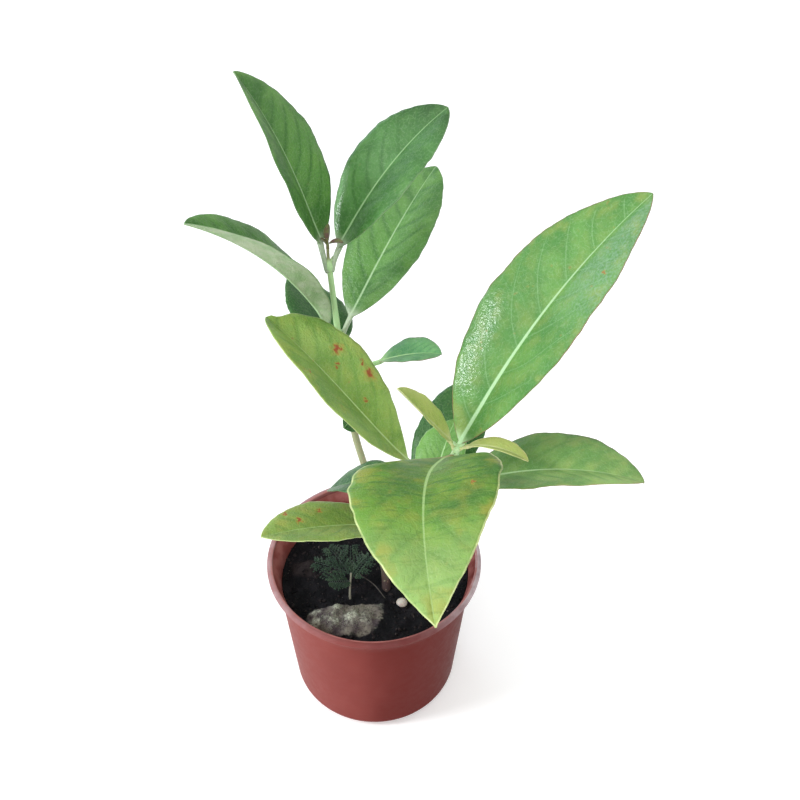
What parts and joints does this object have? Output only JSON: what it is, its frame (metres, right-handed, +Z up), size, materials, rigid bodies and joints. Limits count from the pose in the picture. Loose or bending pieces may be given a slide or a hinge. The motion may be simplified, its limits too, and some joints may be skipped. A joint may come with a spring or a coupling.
{
  "type": "potted broad-leaved viburnum",
  "caption": "Young evergreen viburnum with two leafy shoots of large glossy oval leaves, rooted in soil in a round reddish-brown plastic nursery pot with a rolled lip.",
  "frame": {"origin": "centre of the underside of the pot, on the surface it stands on", "axes": "+Z up; +X to the right and +Y to the back as the picture sees the plant"},
  "size_m": [0.2002, 0.239, 0.3673],
  "materials": {
    "pot_plastic": "moulded reddish-brown polypropylene, slightly satin",
    "soil": "damp black-brown potting soil with crumbs and a mossy clod",
    "shoot_bark": "green young bark, brown at the foot",
    "bud": "dull reddish-brown bud scales",
    "weed": "feathery dark green seedling",
    "pebble": "dull off-white stone",
    "dry_stalk": "dry brown stalk",
    "leaf_green": "glossy mid-green leaf with pale midrib, dull grey-green beneath",
    "leaf_yellow_green": "glossy yellow-green leaf with pale edge and small red-brown spots",
    "leaf_young": "soft olive-gold young leaf"
  },
  "bodies": {
    "root": {"pot": "pot_plastic", "soil": "soil", "woody_shoots": "shoot_bark", "tip_bud": "bud", "weed_sprig": "weed", "white_pebble": "pebble", "dry_twig": "dry_stalk", "leaf_tall_tip_left": "leaf_green", "leaf_tall_tip_right": "leaf_green", "leaf_tall_upper_right": "leaf_green", "leaf_tall_upper_left": "leaf_green", "leaf_tall_middle": "leaf_green", "leaf_tall_small_right": "leaf_green", "leaf_tall_small_hanging": "leaf_green", "leaf_short_young_left": "leaf_young", "leaf_short_young_right": "leaf_young", "leaf_short_broad_back": "leaf_green", "leaf_short_broad_front": "leaf_yellow_green", "leaf_short_upper_left": "leaf_yellow_green", "leaf_short_upper_right": "leaf_green", "leaf_short_shaded_left": "leaf_green", "leaf_short_shaded_back": "leaf_green", "leaf_short_low_left": "leaf_yellow_green", "leaf_short_low_back": "leaf_green"}
  },
  "joints": []
}
